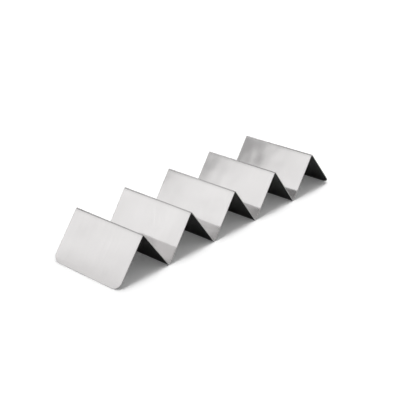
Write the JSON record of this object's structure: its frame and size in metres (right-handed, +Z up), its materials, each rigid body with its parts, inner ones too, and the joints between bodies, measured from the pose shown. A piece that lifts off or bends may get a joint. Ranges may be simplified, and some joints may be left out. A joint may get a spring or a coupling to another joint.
{
  "type": "taco holder",
  "caption": "Taco holder folded from a strip of brushed stainless steel: troughs for tacos between peaked ridges, standing on its lower folds and free end legs.",
  "frame": {"origin": "middle of the footprint, on the table that the holder stands on", "axes": "+X along the row of troughs, across the ridges; +Y along the ridges; +Z up"},
  "size_m": [0.3556, 0.1016, 0.0481],
  "materials": {
    "stainless": "brushed across the ridges, along the length of the strip; cut edges broken and burnished"
  },
  "bodies": {
    "root": {"folded_sheet": "stainless"}
  },
  "joints": []
}
